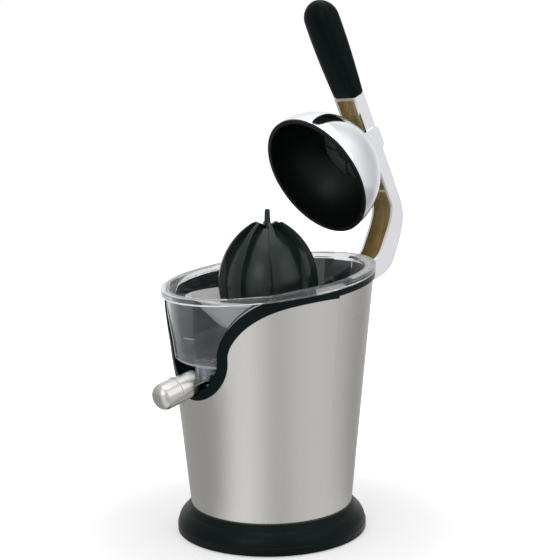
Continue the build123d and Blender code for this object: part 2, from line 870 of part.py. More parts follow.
def motor_coil():
    high = stator_base + stator_height
    inner = stator_back - stator_limb
    body = slab(coil_length / 2, coil_margin - inner, stator_back + coil_margin,
                stator_base - coil_margin, high + coil_margin)
    limb = slab(stator_half_width, socket_fit - inner, stator_back + socket_fit,
                stator_base - socket_fit, high + socket_fit)
    return body - limb


def motor_bracket(face, side):
    """A bearing bracket on two legs over one end of the rotor."""
    near = face + side * bracket_drop
    far = near + side * bracket_thickness
    half = stator_half_width - bracket_thickness
    body = slab(half, bracket_width / 2, bracket_width / 2, min(near, far), max(near, far))
    for x in (-1, 1):
        leg = slab(bracket_thickness, bracket_width / 2, bracket_width / 2, min(face, far), max(face, far))
        body += Pos(x * (half - bracket_thickness), 0, 0) * leg
    bush_end = near - side * bracket_thickness * 2
    body += post(bracket_bush_radius, min(bush_end, far), max(bush_end, far))
    return body - post(motor_shaft_radius + run_fit, 0, reach)


def upper_motor_bracket():
    return motor_bracket(stator_base + stator_height, 1)


def lower_motor_bracket():
    return motor_bracket(stator_base, -1)


def rotor_core():
    return ring(rotor_radius, motor_shaft_radius, stator_base, stator_base + stator_height)


def motor_shaft():
    return post(motor_shaft_radius, motor_shaft_low, gear_base + wheel_width + loose_fit)


def motor_pinion():
    body = gear(pinion_teeth, gear_base, wheel_width + loose_fit)
    return body - post(motor_shaft_radius, 0, reach)


# Lever arm
def arm_at(along, out):
    """A point this far below the arm's top and this far behind its middle line."""
    y = arm_top_y - along * arm_up[0] + out * arm_back[0]
    z = arm_top_z - along * arm_up[1] + out * arm_back[1]
    return (y, z)


def arm_curve(inset, share):
    """The curved foot of the arm: its back edge moved in by an inset and a share of the arm's depth."""
    places = (arm_at(arm_straight, arm_depth / 2), (arm_bend_y, arm_bend_z), (arm_elbow_y, arm_elbow_z),
              (arm_heel_y, arm_heel_z))
    facings = (arm_lean, *arm_facings)
    depths = (arm_depth, arm_bend_depth, arm_elbow_depth, arm_heel_depth)
    points = []
    for (y, z), facing, depth in zip(places, facings, depths):
        shift = inset + depth * share
        points.append((y - shift * cos(radians(facing)), z - shift * sin(radians(facing))))
    last = radians(facings[-1])
    tangents = ((sin(lean), -cos(lean)), (sin(last), -cos(last)))
    return Spline(*points, tangents=tangents)


def arm_side():
    """The arm's outline seen from the side, down to the hinge eye."""
    back = arm_curve(0, 0)
    front = arm_curve(0, 1)
    half = arm_depth / 2
    outline = back + front
    outline += Line(arm_at(0, half), back @ 0)
    outline += Line(arm_at(0, -half), front @ 0)
    outline += Line(arm_at(0, half), arm_at(0, -half))
    eye_top = (hinge_y + eye_radius * sin(pi / 6), hinge_z + eye_radius * cos(pi / 6))
    outline += Polyline(back @ 1, (hinge_y, hinge_z - eye_radius), (hinge_y, hinge_z), eye_top, front @ 1)
    return make_face(outline) + Pos(hinge_y, hinge_z) * Circle(eye_radius)


def arm_channel():
    """The hollow that is open along the arm's front."""
    web = arm_curve(arm_wall, 0)
    front = arm_curve(cut_over, 1)
    half = arm_depth / 2
    outline = web + front
    outline += Line(arm_at(arm_wall, half - arm_wall), web @ 0)
    outline += Line(arm_at(arm_wall, -half - cut_over), front @ 0)
    outline += Line(arm_at(arm_wall, half - arm_wall), arm_at(arm_wall, -half - cut_over))
    outline += Line(web @ 1, front @ 1)
    return make_face(outline)


def arm_box(half_width, out_low, out_high, along_high, along_low):
    """A block square to the arm's straight part."""
    size = (2 * half_width, out_high - out_low, along_low - along_high)
    place = Pos(0, (out_high + out_low) / 2, -along_low)
    return arm_plane * place * Box(*size, align=stand)


def lever_arm():
    body = extrude(Plane.YZ * arm_side(), amount=arm_half_width, both=True)
    body -= extrude(Plane.YZ * arm_channel(), amount=arm_half_width - arm_wall, both=True)
    half = arm_depth / 2
    block_end = block_place + block_length / 2
    block_start = block_place - block_length / 2
    block = arm_box(block_half_width, -block_reach, half + block_proud, block_start, block_end)
    body += fillet(block.edges().filter_by(Axis.X), block_round)
    for step in range(arm_rib_count):
        along = block_end + arm_rib_pitch * (step + 0.5)
        body += arm_box(arm_half_width, -half + arm_wall, half, along, along + arm_rib)
    body += arm_box(tang_width / 2, -tang_thickness / 2, tang_thickness / 2, -tang_length, arm_wall)
    body -= hinge_bar(eye_radius + loose_fit * 3, tongue_half_width + loose_fit)
    body -= hinge_bar(hinge_pin_radius, arm_half_width + cut_over)
    body -= dome_plane * Sphere(dome_radius)
    return body - dome_screw_hole()


def dome_screw_hole():
    return dome_plane * post(dome_screw_radius, 0, dome_screw_seat + dome_screw_length)


def hinge_pin():
    return hinge_bar(hinge_pin_radius, arm_half_width + hinge_pin_over)


# Press dome
def dome_wall(outer, inner):
    """Half a hollow ball with a screw hole at its crown."""
    hole = dome_screw_radius
    outer_crown = (hole, sqrt(outer ** 2 - hole ** 2))
    inner_crown = (hole, sqrt(inner ** 2 - hole ** 2))
    outer_side = (outer * sin(pi / 4), outer * cos(pi / 4))
    inner_side = (inner * sin(pi / 4), inner * cos(pi / 4))
    outline = ThreePointArc(outer_crown, outer_side, (outer, 0))
    outline += Line((outer, 0), (inner, 0))
    outline += ThreePointArc((inner, 0), inner_side, inner_crown)
    outline += Line(inner_crown, outer_crown)
    return revolve(Plane.XZ * make_face(outline), Axis.Z)


def dome_shell():
    return dome_plane * dome_wall(dome_radius, dome_radius - dome_sheet)


def dome_liner():
    """The black inside of the dome, with its lip, cup and ribs."""
    body = dome_wall(liner_inner + liner_thickness, liner_inner)
    body += ring(dome_radius, liner_inner, -lip_height, 0)
    half_way = liner_inner + liner_thickness / 2
    crown = sqrt(liner_inner ** 2 - cup_radius ** 2)
    body += ring(cup_radius, cup_radius - cup_wall, crown - cup_height, crown + liner_thickness / 2)
    band = dome_wall(half_way, liner_inner - dome_rib_height)
    along = (Align.MIN, Align.CENTER, Align.CENTER)
    length = cup_radius - cup_wall / 2 - dome_rib_start
    rib = Pos(dome_rib_start, 0, 0) * Box(length, dome_rib_thickness, reach, align=along)
    for step in range(dome_rib_count):
        body += band & (Rot(0, 0, dome_rib_turn + 360 * step / dome_rib_count) * rib)
    return dome_plane * body


def dome_screw():
    body = post(dome_screw_radius, dome_screw_seat, dome_screw_seat + dome_screw_length)
    body += post(dome_screw_head_radius, dome_screw_seat - dome_screw_head, dome_screw_seat)
    return dome_plane * body


def grip():
    """A paddle that swells towards its end, on the arm's tang."""
    sections = []
    for along in grip_places_shares:
        swell = sin(pi / 2 * min(along / grip_swell_share, 1))
        tail = max(along - grip_round_share, 0) / (1 - grip_round_share)
        size = sqrt(1 - tail ** 2)
        width = size * grip_width * (grip_foot_shares[0] + (1 - grip_foot_shares[0]) * swell)
        depth = size * grip_thickness * (grip_foot_shares[1] + (1 - grip_foot_shares[1]) * swell)
        corner = grip_corner_shares[0] + (grip_corner_shares[1] - grip_corner_shares[0]) * along
        section = RectangleRounded(width, depth, corner * depth / 2)
        sections.append(Pos(0, 0, loose_fit + grip_length * along) * section)
    body = loft(sections, ruled=True)
    size = (tang_width + socket_fit * 2, tang_thickness + socket_fit * 2, tang_length + loose_fit)
    return arm_plane * (body - Box(*size, align=stand))


# Anti-drip spout
def spout():
    """A sloping tube with a scoop under the bowl's outlet, a raised ring and a domed end open below."""
    body = spout_turned(0)
    upper = Box(reach, reach, reach, align=(Align.CENTER, Align.MIN, Align.MAX))
    cover = Pos(0, spout_cover_step, spout_ring_at - spout_ring_width) * upper
    body -= cover - post(spout_radius - spout_cover_step, -reach, reach)
    body = spout_plane * body + spout_lug()
    body -= spout_plane * spout_turned(spout_sheet)
    drop = Pos(0, -spout_radius, outlet_at) * Rot(90, 0, 0) * Cylinder(outlet_radius, spout_radius)
    body -= spout_plane * drop
    body -= extrude(Plane.YZ * spout_scoop(), amount=reach, both=True)
    return body - spout_pivot_pin(spout_pin_radius + run_fit, pocket_half_width)


def spout_turned(inset):
    """The spout's round outside, or with an inset the hollow inside it."""
    back = -spout_back - inset * 2
    body = post(spout_radius - inset, back, spout_ring_at)
    body += post(spout_radius + spout_ring_proud - inset, spout_ring_at - spout_ring_width, spout_ring_at)
    nose = post(nose_radius - inset, spout_ring_at, nose_end - inset)
    body += fillet(nose.edges().sort_by(Axis.Z)[-1], nose_round - inset)
    return Rot(0, 0, spout_seam_turn) * body


def spout_lug():
    """The lug under the tube that turns on the pivot pin."""
    lug_back = -spout_pivot_y + spout_lug_radius
    lug_front = -spout_pivot_y - spout_lug_radius
    lug = make_face(Polyline((lug_front, spout_pivot_z), (lug_back, spout_pivot_z),
                             (lug_back, scoop_back_z), (lug_front, scoop_back_z), close=True))
    lug += Pos(-spout_pivot_y, spout_pivot_z) * Circle(spout_lug_radius)
    return extrude(Plane.YZ * lug, amount=spout_lug_half_width, both=True)


def spout_scoop():
    """What is cut from the tube's rear, so that it opens up under the bowl's outlet."""
    front_z = spout_axis_z - (scoop_front_y - spout_axis_y) * tan(slope)
    back_y = spout_axis_y - (scoop_back_z - spout_axis_z) / tan(slope)
    return make_face(Polyline((-scoop_top_y, mouth_height), (-scoop_top_y, spout_axis_z + spout_radius),
                              (-scoop_front_y, front_z), (-back_y, scoop_back_z), (0, scoop_back_z),
                              (0, mouth_height), close=True))


# One file for each node
nodes = (base_ring, bottom_plate, rubber_feet, base_screws, cord_gland, steel_shell, trim_ring, inner_housing,
         hinge_bracket, bracket_screws, juice_bowl, strainer, shaft_sleeve, shaft_seal, guide_pin, return_spring,
         switch_body, gearbox_plate, gearbox_cover, gearbox_posts, idler_axle, motor_stator, motor_coil,
         upper_motor_bracket, lower_motor_bracket, thrust_collar, drive_shaft, shaft_clips, reamer_cone,
         output_gear, idler_gear, rotor_core, motor_shaft, motor_pinion, switch_plunger, lever_arm, hinge_pin,
         dome_shell, dome_liner, dome_screw, grip, spout, spout_pin)

os.makedirs("parts", exist_ok=True)
for node in nodes:
    shape = node()
    if isinstance(shape, list):
        shape = Compound(children=shape)
    export_step(shape, "parts/" + node.__name__ + ".step")
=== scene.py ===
# %% [markdown]
# # An electric lever citrus juicer
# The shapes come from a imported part: every rigid piece is already there, in metres, standing on the
# floor at the origin. This lesson gives those pieces their finishes, adds the fine pieces that a
# rigid part leaves out, and sets up the camera, the light and the floor.

import json
from math import cos, degrees, pi, radians, sin

import bmesh
import bpy
from mathutils import Matrix, Vector


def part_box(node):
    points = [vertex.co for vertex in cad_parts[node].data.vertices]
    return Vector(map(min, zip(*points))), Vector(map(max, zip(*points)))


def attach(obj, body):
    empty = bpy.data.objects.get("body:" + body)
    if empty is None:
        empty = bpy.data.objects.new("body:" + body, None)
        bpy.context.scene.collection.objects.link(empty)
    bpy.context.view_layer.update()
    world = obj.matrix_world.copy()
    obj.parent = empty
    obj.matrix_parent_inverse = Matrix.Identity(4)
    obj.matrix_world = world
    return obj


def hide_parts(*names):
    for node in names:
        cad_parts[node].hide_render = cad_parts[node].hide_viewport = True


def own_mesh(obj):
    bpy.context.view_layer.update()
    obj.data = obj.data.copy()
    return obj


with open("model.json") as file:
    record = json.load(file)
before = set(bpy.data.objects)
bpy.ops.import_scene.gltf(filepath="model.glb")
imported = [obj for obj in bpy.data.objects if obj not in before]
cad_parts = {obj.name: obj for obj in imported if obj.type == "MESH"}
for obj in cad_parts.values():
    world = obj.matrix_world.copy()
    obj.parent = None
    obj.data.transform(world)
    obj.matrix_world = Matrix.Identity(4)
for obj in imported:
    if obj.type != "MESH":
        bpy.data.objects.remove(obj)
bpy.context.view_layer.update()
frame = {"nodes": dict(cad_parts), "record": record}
nodes = frame["nodes"]

# %% [markdown]
# ## The camera
# The juicer is seen from its right front, a little above the bowl's rim. The camera's three own
# directions are written out as a matrix, because the photograph is turned by less than a degree and
# a matrix holds that small roll without any angles to juggle.


# %% Camera
def add(name, data):
    """Put new data into the scene as an object."""
    thing = bpy.data.objects.new(name, data)
    bpy.context.scene.collection.objects.link(thing)
    return thing


lens = bpy.data.cameras.new("photo_camera")
lens.lens = 73.51
lens.sensor_width = 36
camera = add("photo_camera", lens)
place = Vector((0.699431, -0.566388, 0.308568))
right = Vector((0.638574, 0.769426, -0.014357))
up = Vector((-0.082871, 0.087301, 0.992729))
back = Vector((0.765085, -0.632742, 0.119511))
turn = Matrix((right, up, back)).transposed().to_4x4()
camera.matrix_world = Matrix.Translation(place) @ turn
bpy.context.scene.camera = camera
bpy.context.scene.view_settings.view_transform = "Standard"
print("camera", [round(value, 3) for value in place], "lens", lens.lens)

# %% [markdown]
# ## Writing shaders as sums
# A finish is a small sum over the surface: some noise, a mask, a colour between two colours. Such a
# sum could be wired by hand in the shader editor, but it is easier to read as a line of Python.
# Value below wraps one output socket, so that `1 - mask * 0.3` adds the Math nodes by itself.


# %% Value
class Value:
    """One number that changes over a surface."""

    def __init__(self, tree, socket):
        self.tree = tree
        self.socket = socket

    def math(self, operation, *inputs):
        node = self.tree.nodes.new("ShaderNodeMath")
        node.operation = operation
        for socket, item in zip(node.inputs, inputs):
            plug(self.tree, socket, item)
        return Value(self.tree, node.outputs[0])

    def __add__(self, other):
        return self.math("ADD", self, other)

    def __radd__(self, other):
        return self.math("ADD", other, self)

    def __sub__(self, other):
        return self.math("SUBTRACT", self, other)

    def __rsub__(self, other):
        return self.math("SUBTRACT", other, self)

    def __mul__(self, other):
        return self.math("MULTIPLY", self, other)

    def __rmul__(self, other):
        return self.math("MULTIPLY", other, self)

    def __gt__(self, other):
        return self.math("GREATER_THAN", self, other)

    def __lt__(self, other):
        return self.math("LESS_THAN", self, other)

    def __abs__(self):
        return self.math("ABSOLUTE", self)


def plug(tree, socket, item):
    """Link a socket to another, or set its number."""
    if isinstance(item, Value):
        tree.links.new(item.socket, socket)
    else:
        socket.default_value = item


print("made a class for sums of sockets")

# %% [markdown]
# ## One class for a finish
# Finish holds one material. Its `node` method adds any node: first the settings, because they
# change which sockets a node has, and then the sockets. The other methods are the few patterns that
# every finish here uses.


# %% Finish
class Finish:
    """A material, or the world, with a few helpers for its nodes."""

    def __init__(self, name, owner=None):
        self.owner = owner or bpy.data.materials.new(name)
        self.owner.use_nodes = True
        self.tree = self.owner.node_tree
        self.shader = self.tree.nodes.get("Principled BSDF") or self.tree.nodes.get("Background")

    def node(self, kind, settings=None, sockets=None, output=0):
        node = self.tree.nodes.new(kind)
        for key, item in (settings or {}).items():
            setattr(node, key, item)
        for key, item in (sockets or {}).items():
            plug(self.tree, node.inputs[key], item)
        return Value(self.tree, node.outputs[output])

    def axes(self):
        """Where on the piece: x, y and z in metres."""
        place = self.node("ShaderNodeTexCoord", output="Object")
        split = self.node("ShaderNodeSeparateXYZ", sockets={"Vector": place})
        return [Value(self.tree, socket) for socket in split.socket.node.outputs]

    def point(self, x, y, z):
        return self.node("ShaderNodeCombineXYZ", sockets={"X": x, "Y": y, "Z": z})

    def noise(self, scale, detail, at=None):
        at = at or self.node("ShaderNodeTexCoord", output="Object")
        sockets = {"Vector": at, "Scale": scale, "Detail": detail}
        return self.node("ShaderNodeTexNoise", sockets=sockets)

    def step(self, value, low, high):
        """0 below low, 1 above high, smooth between."""
        settings = {"interpolation_type": "SMOOTHSTEP"}
        sockets = {"Value": value, "From Min": low, "From Max": high}
        return self.node("ShaderNodeMapRange", settings, sockets)

    def blend(self, share, first, second):
        """A colour between two colours."""
        mix = self.node("ShaderNodeMix", {"data_type": "RGBA"}, output="Result")
        sockets = mix.socket.node.inputs
        plug(self.tree, sockets["Factor"], share)
        colours = [socket for socket in sockets if socket.type == "RGBA"]
        for socket, item in zip(colours, (first, second)):
            plug(self.tree, socket, item if isinstance(item, Value) else (*item, 1))
        outputs = mix.socket.node.outputs
        return Value(self.tree, next(socket for socket in outputs if socket.type == "RGBA"))

    def bump(self, height, depth, strength):
        """Raise the surface by height times depth, in metres."""
        sockets = {"Height": height, "Distance": depth, "Strength": strength}
        self.set(Normal=self.node("ShaderNodeBump", sockets=sockets))

    def set(self, **sockets):
        for key, item in sockets.items():
            plug(self.tree, self.shader.inputs[key.replace("_", " ")], item)


finishes = {}
print("made a class for finishes")

# %% [markdown]
# ## Black moulded plastic
# The base, the trim along the steel's edge and the dome's liner are satin black mouldings. A
# moulding tool leaves a very fine grain on them, finer than a mesh could carry. So the colour stays
# nearly black, fine noise roughens the highlights, and larger noise breaks them up a little. Rubber
# feet and nylon gears are mouldings too, so one function makes them all.


# %% Moulded plastic
def moulded(slot, dark, light, shine, gloss, grain=2600, depth=0.00002):
    """A moulding with a fine grain: shine is its roughness, gloss its reflection."""
    finish = Finish(slot)
    cloud = finish.noise(scale=60, detail=3)
    fine = finish.noise(scale=grain, detail=2)
    finish.set(Base_Color=finish.blend(cloud, dark, light))
    cloud_part, fine_part = 0.12, 0.08
    finish.set(Roughness=shine + cloud_part * (cloud - 0.5) + fine_part * (fine - 0.5))
    finish.set(Specular_IOR_Level=gloss)
    finish.bump(fine, depth, strength=0.5)
    finishes[slot] = finish
    return finish


moulded("black_moulding", dark=(0.0018, 0.0075, 0.0068), light=(0.0036, 0.0112, 0.0104),
        shine=0.3, gloss=0.09)
moulded("reamer_moulding", dark=(0.0095, 0.020, 0.0165), light=(0.0155, 0.029, 0.025),
        shine=0.25, gloss=0.32)
moulded("soft_grip", dark=(0.0010, 0.0058, 0.0052), light=(0.0022, 0.0083, 0.0076),
        shine=0.38, gloss=0.07, grain=1800, depth=0.00003)
moulded("foot_rubber", dark=(0.018, 0.018, 0.018), light=(0.026, 0.026, 0.026),
        shine=0.7, gloss=0.3, grain=1500, depth=0.00004)
moulded("gear_nylon", dark=(0.74, 0.73, 0.68), light=(0.80, 0.79, 0.74),
        shine=0.42, gloss=0.5, grain=1500)
print("moulded finishes", sorted(finishes))

# %% [markdown]
# ## Brushed steel
# The body is a rolled steel sheet, brushed upright with a fine belt. A picture of scratches could
# be wrapped round it, but noise has no seam and stays sharp from near. Scratches are long and thin,
# so the noise is read in cylinder terms: quickly round the body, slowly up it. The same noise moves
# the colour, the roughness and a very shallow bump. Anisotropy spreads the highlights round the
# body, as brushing does.


# %% Steel finishes
def brushed(slot, dark, light, shine, spread, upright=True):
    """Steel with brush lines that run up the body, or round it."""
    finish = Finish(slot)
    x, y, z = finish.axes()
    round_body = finish.node("ShaderNodeMath", {"operation": "ARCTAN2"}, {0: y, 1: x})
    # How quickly the lines and the scratches change round the body, and up it.
    line_round, line_up, scratch_round, scratch_up = 3, 900, 8, 2600
    if upright:
        line_round, line_up, scratch_round, scratch_up = 260, 9, 900, 26
    line_place = finish.point(round_body * line_round, z * line_up, 0.5)
    scratch_place = finish.point(round_body * scratch_round, z * scratch_up, 1.5)
    lines = finish.noise(scale=1, detail=3, at=line_place)
    scratches = finish.noise(scale=1, detail=2, at=scratch_place)
    cloud = finish.noise(scale=14, detail=2)
    grain = 0.6 * lines + 0.4 * scratches
    finish.set(Base_Color=finish.blend(grain, dark, light))
    grain_part, cloud_part = 0.16, 0.05
    finish.set(Roughness=shine + grain_part * (grain - 0.5) + cloud_part * (cloud - 0.5))
    finish.set(Metallic=1.0, Anisotropic=spread)
    finish.bump(scratches, depth=0.000012, strength=0.35)
    finishes[slot] = finish
    return finish


brushed("brushed_shell", dark=(0.585, 0.573, 0.547), light=(0.655, 0.643, 0.617),
        shine=0.27, spread=0.5)
brushed("plain_steel", dark=(0.50, 0.50, 0.51), light=(0.62, 0.62, 0.63),
        shine=0.28, spread=0.2, upright=False)
strainer_steel = brushed("strainer_steel", dark=(0.86, 0.85, 0.83), light=(0.94, 0.93, 0.91),
                         shine=0.3, spread=0.0, upright=False)
strainer_steel.set(Metallic=0.1)
brushed("spout_steel", dark=(0.49, 0.48, 0.455), light=(0.65, 0.64, 0.615),
        shine=0.2, spread=0.0, upright=False)
brushed("lamination_steel", dark=(0.22, 0.22, 0.23), light=(0.36, 0.36, 0.37),
        shine=0.45, spread=0.0, upright=False)
print("finishes so far", len(finishes))

# %% [markdown]
# ## Chrome, castings and copper
# Chrome plate is nearly a mirror, with a faint waviness from polishing. Castings show a fine
# pebble, and the motor's coil shows its turns of enamelled wire. The wires could be modelled one by
# one, but there are hundreds and they lie inside the housing, so a sine of the height bumps them as
# fine bands.


# %% Chrome, castings, copper
def plated(slot, colour, shine, wave, depth):
    """Bare or plated metal with a slow or a fine unevenness."""
    finish = Finish(slot)
    cloud = finish.noise(scale=wave, detail=2)
    fine = finish.noise(scale=900, detail=2)
    dimmer, cloud_part, fine_part = 0.96, 0.06, 0.03
    finish.set(Base_Color=finish.blend(cloud, [dimmer * part for part in colour], colour))
    finish.set(Roughness=shine + cloud_part * (cloud - 0.5) + fine_part * (fine - 0.5))
    finish.set(Metallic=1.0)
    finish.bump(cloud, depth, strength=0.4)
    finishes[slot] = finish
    return finish


plated("chrome_plate", (0.855, 0.885, 0.915), shine=0.07, wave=22, depth=0.00005)
plated("cast_alloy", (0.55, 0.55, 0.55), shine=0.42, wave=700, depth=0.00006)
winding = plated("copper_winding", (0.6, 0.28, 0.13), shine=0.35, wave=60, depth=0.00003)
wire_bands = winding.axes()[2] * 9000
wires = winding.node("ShaderNodeMath", {"operation": "SINE"}, {0: wire_bands})
winding.bump(wires, depth=0.0001, strength=0.6)
print("finishes so far", len(finishes))

# %% [markdown]
# ## Inside the arm
# The arm's open channel is coloured a warm, duller metal. A second
# material slot would need a changed mesh, so the channel is found by sums alone: near the middle
# plane, and not facing the rear. Its side wall gets painted shade, darker than its floor, and a thin
# painted highlight runs along the corner between them.

# %% Arm channel
channel_half_width = 0.01016
highlight_seam_place, highlight_seam_half_width = -0.0089, 0.0004
# How far a face may turn to the rear or the side: 1 faces straight there, 0 faces across.
rear_limit, wall_limit, highlight_seam_limit = 0.2, 0.5, -0.3
arm = plated("arm", (0.90, 0.91, 0.94), shine=0.09, wave=30, depth=0.00004)
x = arm.axes()[0]
facing = arm.node("ShaderNodeTexCoord", output="Normal")
facing_x = arm.node("ShaderNodeSeparateXYZ", sockets={"Vector": facing}, output="X")
facing_y = arm.node("ShaderNodeSeparateXYZ", sockets={"Vector": facing}, output="Y")
channel = (abs(x) < channel_half_width) * (facing_y < rear_limit)
tarnish = arm.noise(scale=90, detail=3)
# Painted shade: the side wall gets a darker copy of the floor's warm tone.
shaded_wall_tone = arm.blend(tarnish, (0.26, 0.19, 0.10), (0.46, 0.36, 0.21))
lit_floor_tone = arm.blend(tarnish, (0.46, 0.39, 0.25), (0.78, 0.69, 0.50))
warm_with_painted_light = arm.blend(facing_x > wall_limit, lit_floor_tone, shaded_wall_tone)
# Painted highlight: a thin pale line along the corner between the wall and the floor.
painted_highlight_seam = (abs(x - highlight_seam_place) < highlight_seam_half_width) * (facing_y < highlight_seam_limit)
warm_with_painted_light = arm.blend(painted_highlight_seam, warm_with_painted_light, (0.92, 0.90, 0.84))
bright = arm.blend(arm.noise(scale=30, detail=2), (0.80, 0.81, 0.845), (0.84, 0.85, 0.885))
arm.set(Base_Color=arm.blend(channel, bright, warm_with_painted_light))
arm.set(Roughness=0.08 + channel * (0.2 + 0.12 * tarnish))
print("arm channel", round(2000 * channel_half_width, 1), "mm wide")

# %% [markdown]
# ## Inside the dome
# The dome's liner is the same black moulding as the base. The raised hub in its middle is grained,
# and a paler colour there is painted sheen for the light it catches; distance from the dome's axis
# picks it out. The axis leans, so the distance is the length of a cross product and the depth is a
# dot product, which both work in any direction.

# %% Liner hub
dome_tilt = radians(61.5)
dome_middle = Vector((0, 0.052, 0.281))
dome_axis = Vector((0, sin(dome_tilt), cos(dome_tilt)))
hub_radius, hub_fade, hub_start = 0.0260, 0.0005, 0.03
liner_black = (0.006, 0.0085, 0.008)
liner = moulded("liner", dark=liner_black, light=liner_black, shine=0.34, gloss=0.16)
spot = liner.node("ShaderNodeTexCoord", output="Object")
spot = liner.node("ShaderNodeVectorMath", {"operation": "SUBTRACT"}, {0: spot, 1: dome_middle})
across = liner.node("ShaderNodeVectorMath", {"operation": "CROSS_PRODUCT"}, {0: spot, 1: dome_axis})
from_axis = liner.node("ShaderNodeVectorMath", {"operation": "LENGTH"}, {0: across}, output="Value")
dot = {"operation": "DOT_PRODUCT"}
inward = liner.node("ShaderNodeVectorMath", dot, {0: spot, 1: dome_axis}, output="Value")
hub = liner.step(from_axis, hub_radius + hub_fade, hub_radius) * (inward > hub_start)
grain = liner.noise(scale=500, detail=3)
# Painted sheen: the hub gets a paler, grained colour for the light it catches.
pale_painted_sheen = liner.blend(grain, (0.062, 0.080, 0.073), (0.10, 0.122, 0.112))
liner.set(Base_Color=liner.blend(hub, liner_black, pale_painted_sheen))
print("hub", round(2000 * hub_radius, 1), "mm wide")

# %% [markdown]
# ## The clear bowl
# The bowl is one clear moulding with real thickness. A see-through colour would be quicker to
# render, but nothing behind it would bend, so transmission with the plastic's own index is used and
# light bends at both faces. A trace of roughness and very slow waves keep it from looking like
# window glass. The back of the bowl stands close to the dark hinge opening, so a strip there gets
# painted shade, a dark colour for the darkness seen through it.

# %% Clear plastic
clear = Finish("clear_bowl")
waves = clear.noise(scale=35, detail=2)
x, y, z = clear.axes()
strip_half_width, strip_fade, strip_start, strip_top = 0.0155, 0.001, 0.05, 0.2105
# Painted shade: a dark strip on the bowl's back, where the dark hinge opening shows through.
rear_painted_shade = clear.step(abs(x), strip_half_width + strip_fade, strip_half_width)
rear_painted_shade = rear_painted_shade * (y > strip_start) * (z < strip_top)
tint = clear.blend(waves, (0.925, 0.945, 0.965), (0.955, 0.97, 0.985))
clear.set(Base_Color=clear.blend(rear_painted_shade, tint, (0.03, 0.036, 0.038)))
clear.set(Roughness=0.015 + 0.02 * waves)
clear.set(Transmission_Weight=1.0, IOR=1.49, Specular_IOR_Level=0.36)
clear.bump(waves, depth=0.00025, strength=0.3)
print("clear plastic of", len(clear.tree.nodes), "nodes")

# %% [markdown]
# ## Where clear plastic shows white
# Clear plastic is seen by its edges. Its cut sides, its foot, its outlet and every face that turns
# away from the eye shine pale, so a veil of painted sheen, a white diffuse layer, is mixed in just
# there. The veil also draws one plain level line. Light from the lamps would stop at the bowl,
# because a ray towards a lamp can't bend, so for those rays alone the bowl is a plain window.

# %% Where the veil lies
foot_height, outlet_height, outlet_front = 0.16, 0.1395, -0.05
wall_start, wall_top = 0.165, 0.2
level_height, level_half_line, level_half_turn, level_front = 0.1625, 0.0004, 0.085, -0.074
facing = clear.node("ShaderNodeTexCoord", output="Normal")
outward = clear.node("ShaderNodeVectorMath", {"operation": "NORMALIZE"}, {0: clear.point(x, y, 0)})
radial = clear.node("ShaderNodeVectorMath", dot, {0: facing, 1: outward}, output="Value")
upward = clear.node("ShaderNodeVectorMath", dot, {0: facing, 1: (0, 0, 1)}, output="Value")
# Here too 1 faces straight outward or up, 0 faces across and -1 faces inward or down.
side_edge = (abs(radial) < 0.6) * (abs(upward) < 0.8)
foot_edge = (upward < -0.25) * (upward > -0.93) * (z < foot_height)
outlet = (z < outlet_height) * (y < outlet_front)
slant = clear.node("ShaderNodeLayerWeight", sockets={"Blend": 0.5}, output="Facing")
round_bowl = clear.node("ShaderNodeMath", {"operation": "ARCTAN2"}, {0: x, 1: 0 - y})
level_mark = (abs(z - level_height) < level_half_line) * (abs(round_bowl) < level_half_turn)
level_mark = level_mark * (y < level_front)
high = 0.3 + 0.7 * clear.step(z, wall_start, wall_top)
# Painted sheen: white is mixed in on glancing faces, cut sides, the foot and the outlet; the level
# mark is a real line.
veil = 0.008 + 0.34 * high * slant * slant * slant + 0.1 * side_edge
veil = veil + 0.6 * foot_edge + 0.16 * outlet + 0.35 * level_mark
print("veil of", len(clear.tree.nodes), "nodes")

# %% Painted sheen and window
# The white that the veil mixes in is painted sheen, and also the level line's colour.
sheen_and_level_white = clear.node("ShaderNodeBsdfDiffuse", sockets={"Color": (0.87, 0.92, 0.965, 1)})
body = Value(clear.tree, clear.shader.outputs[0])
shown = clear.node("ShaderNodeMixShader", sockets={0: veil, 1: body, 2: sheen_and_level_white})
passing = clear.node("ShaderNodeLightPath", output="Is Shadow Ray")
window = clear.node("ShaderNodeBsdfTransparent", sockets={"Color": (0.97, 0.98, 0.99, 1)})
shown = clear.node("ShaderNodeMixShader", sockets={0: passing, 1: shown, 2: window})
clear.tree.links.new(shown.socket, clear.tree.nodes["Material Output"].inputs["Surface"])
finishes["clear_bowl"] = clear
print("bowl finish of", len(clear.tree.nodes), "nodes")

# %% [markdown]
# ## Dressing the parts
# The record names a slot for every piece, and most finishes go by slot. Four pieces need one of
# their own: the arm and the liner with their masks, the strainer, which is paler and less
# mirror-like than polished sheet, and the spout, which is duller.

# %% Dress
slots = {piece["node"]: piece["material_slot"] for piece in frame["record"]["subparts"]}
own_finish = {"lever_arm": "arm", "dome_liner": "liner",
              "strainer": "strainer_steel", "spout": "spout_steel"}
for name, node in nodes.items():
    node.data.materials.clear()
    node.data.materials.append(finishes[own_finish.get(name, slots[name])].owner)
print("dressed", len(nodes), "pieces in", len(finishes), "finishes")

# %% [markdown]
# ## The grip
# The grip is one soft moulding pushed over the arm's flat tang: slim at its foot, fuller towards
# its blunt round end. A box with a subdivision modifier could give such a shape, but rings of
# points keep every size in plain sight. Each ring is a superellipse, a shape between a rectangle
# and an oval, so one exponent rounds the edges. The last rings shrink like a quarter circle and
# close the end.

# %% Rings of the grip
lean = radians(25.7)
tang = Vector((0, 0.0887, 0.346))
grip_up = Vector((0, -sin(lean), cos(lean)))
grip_back = Vector((0, cos(lean), sin(lean)))


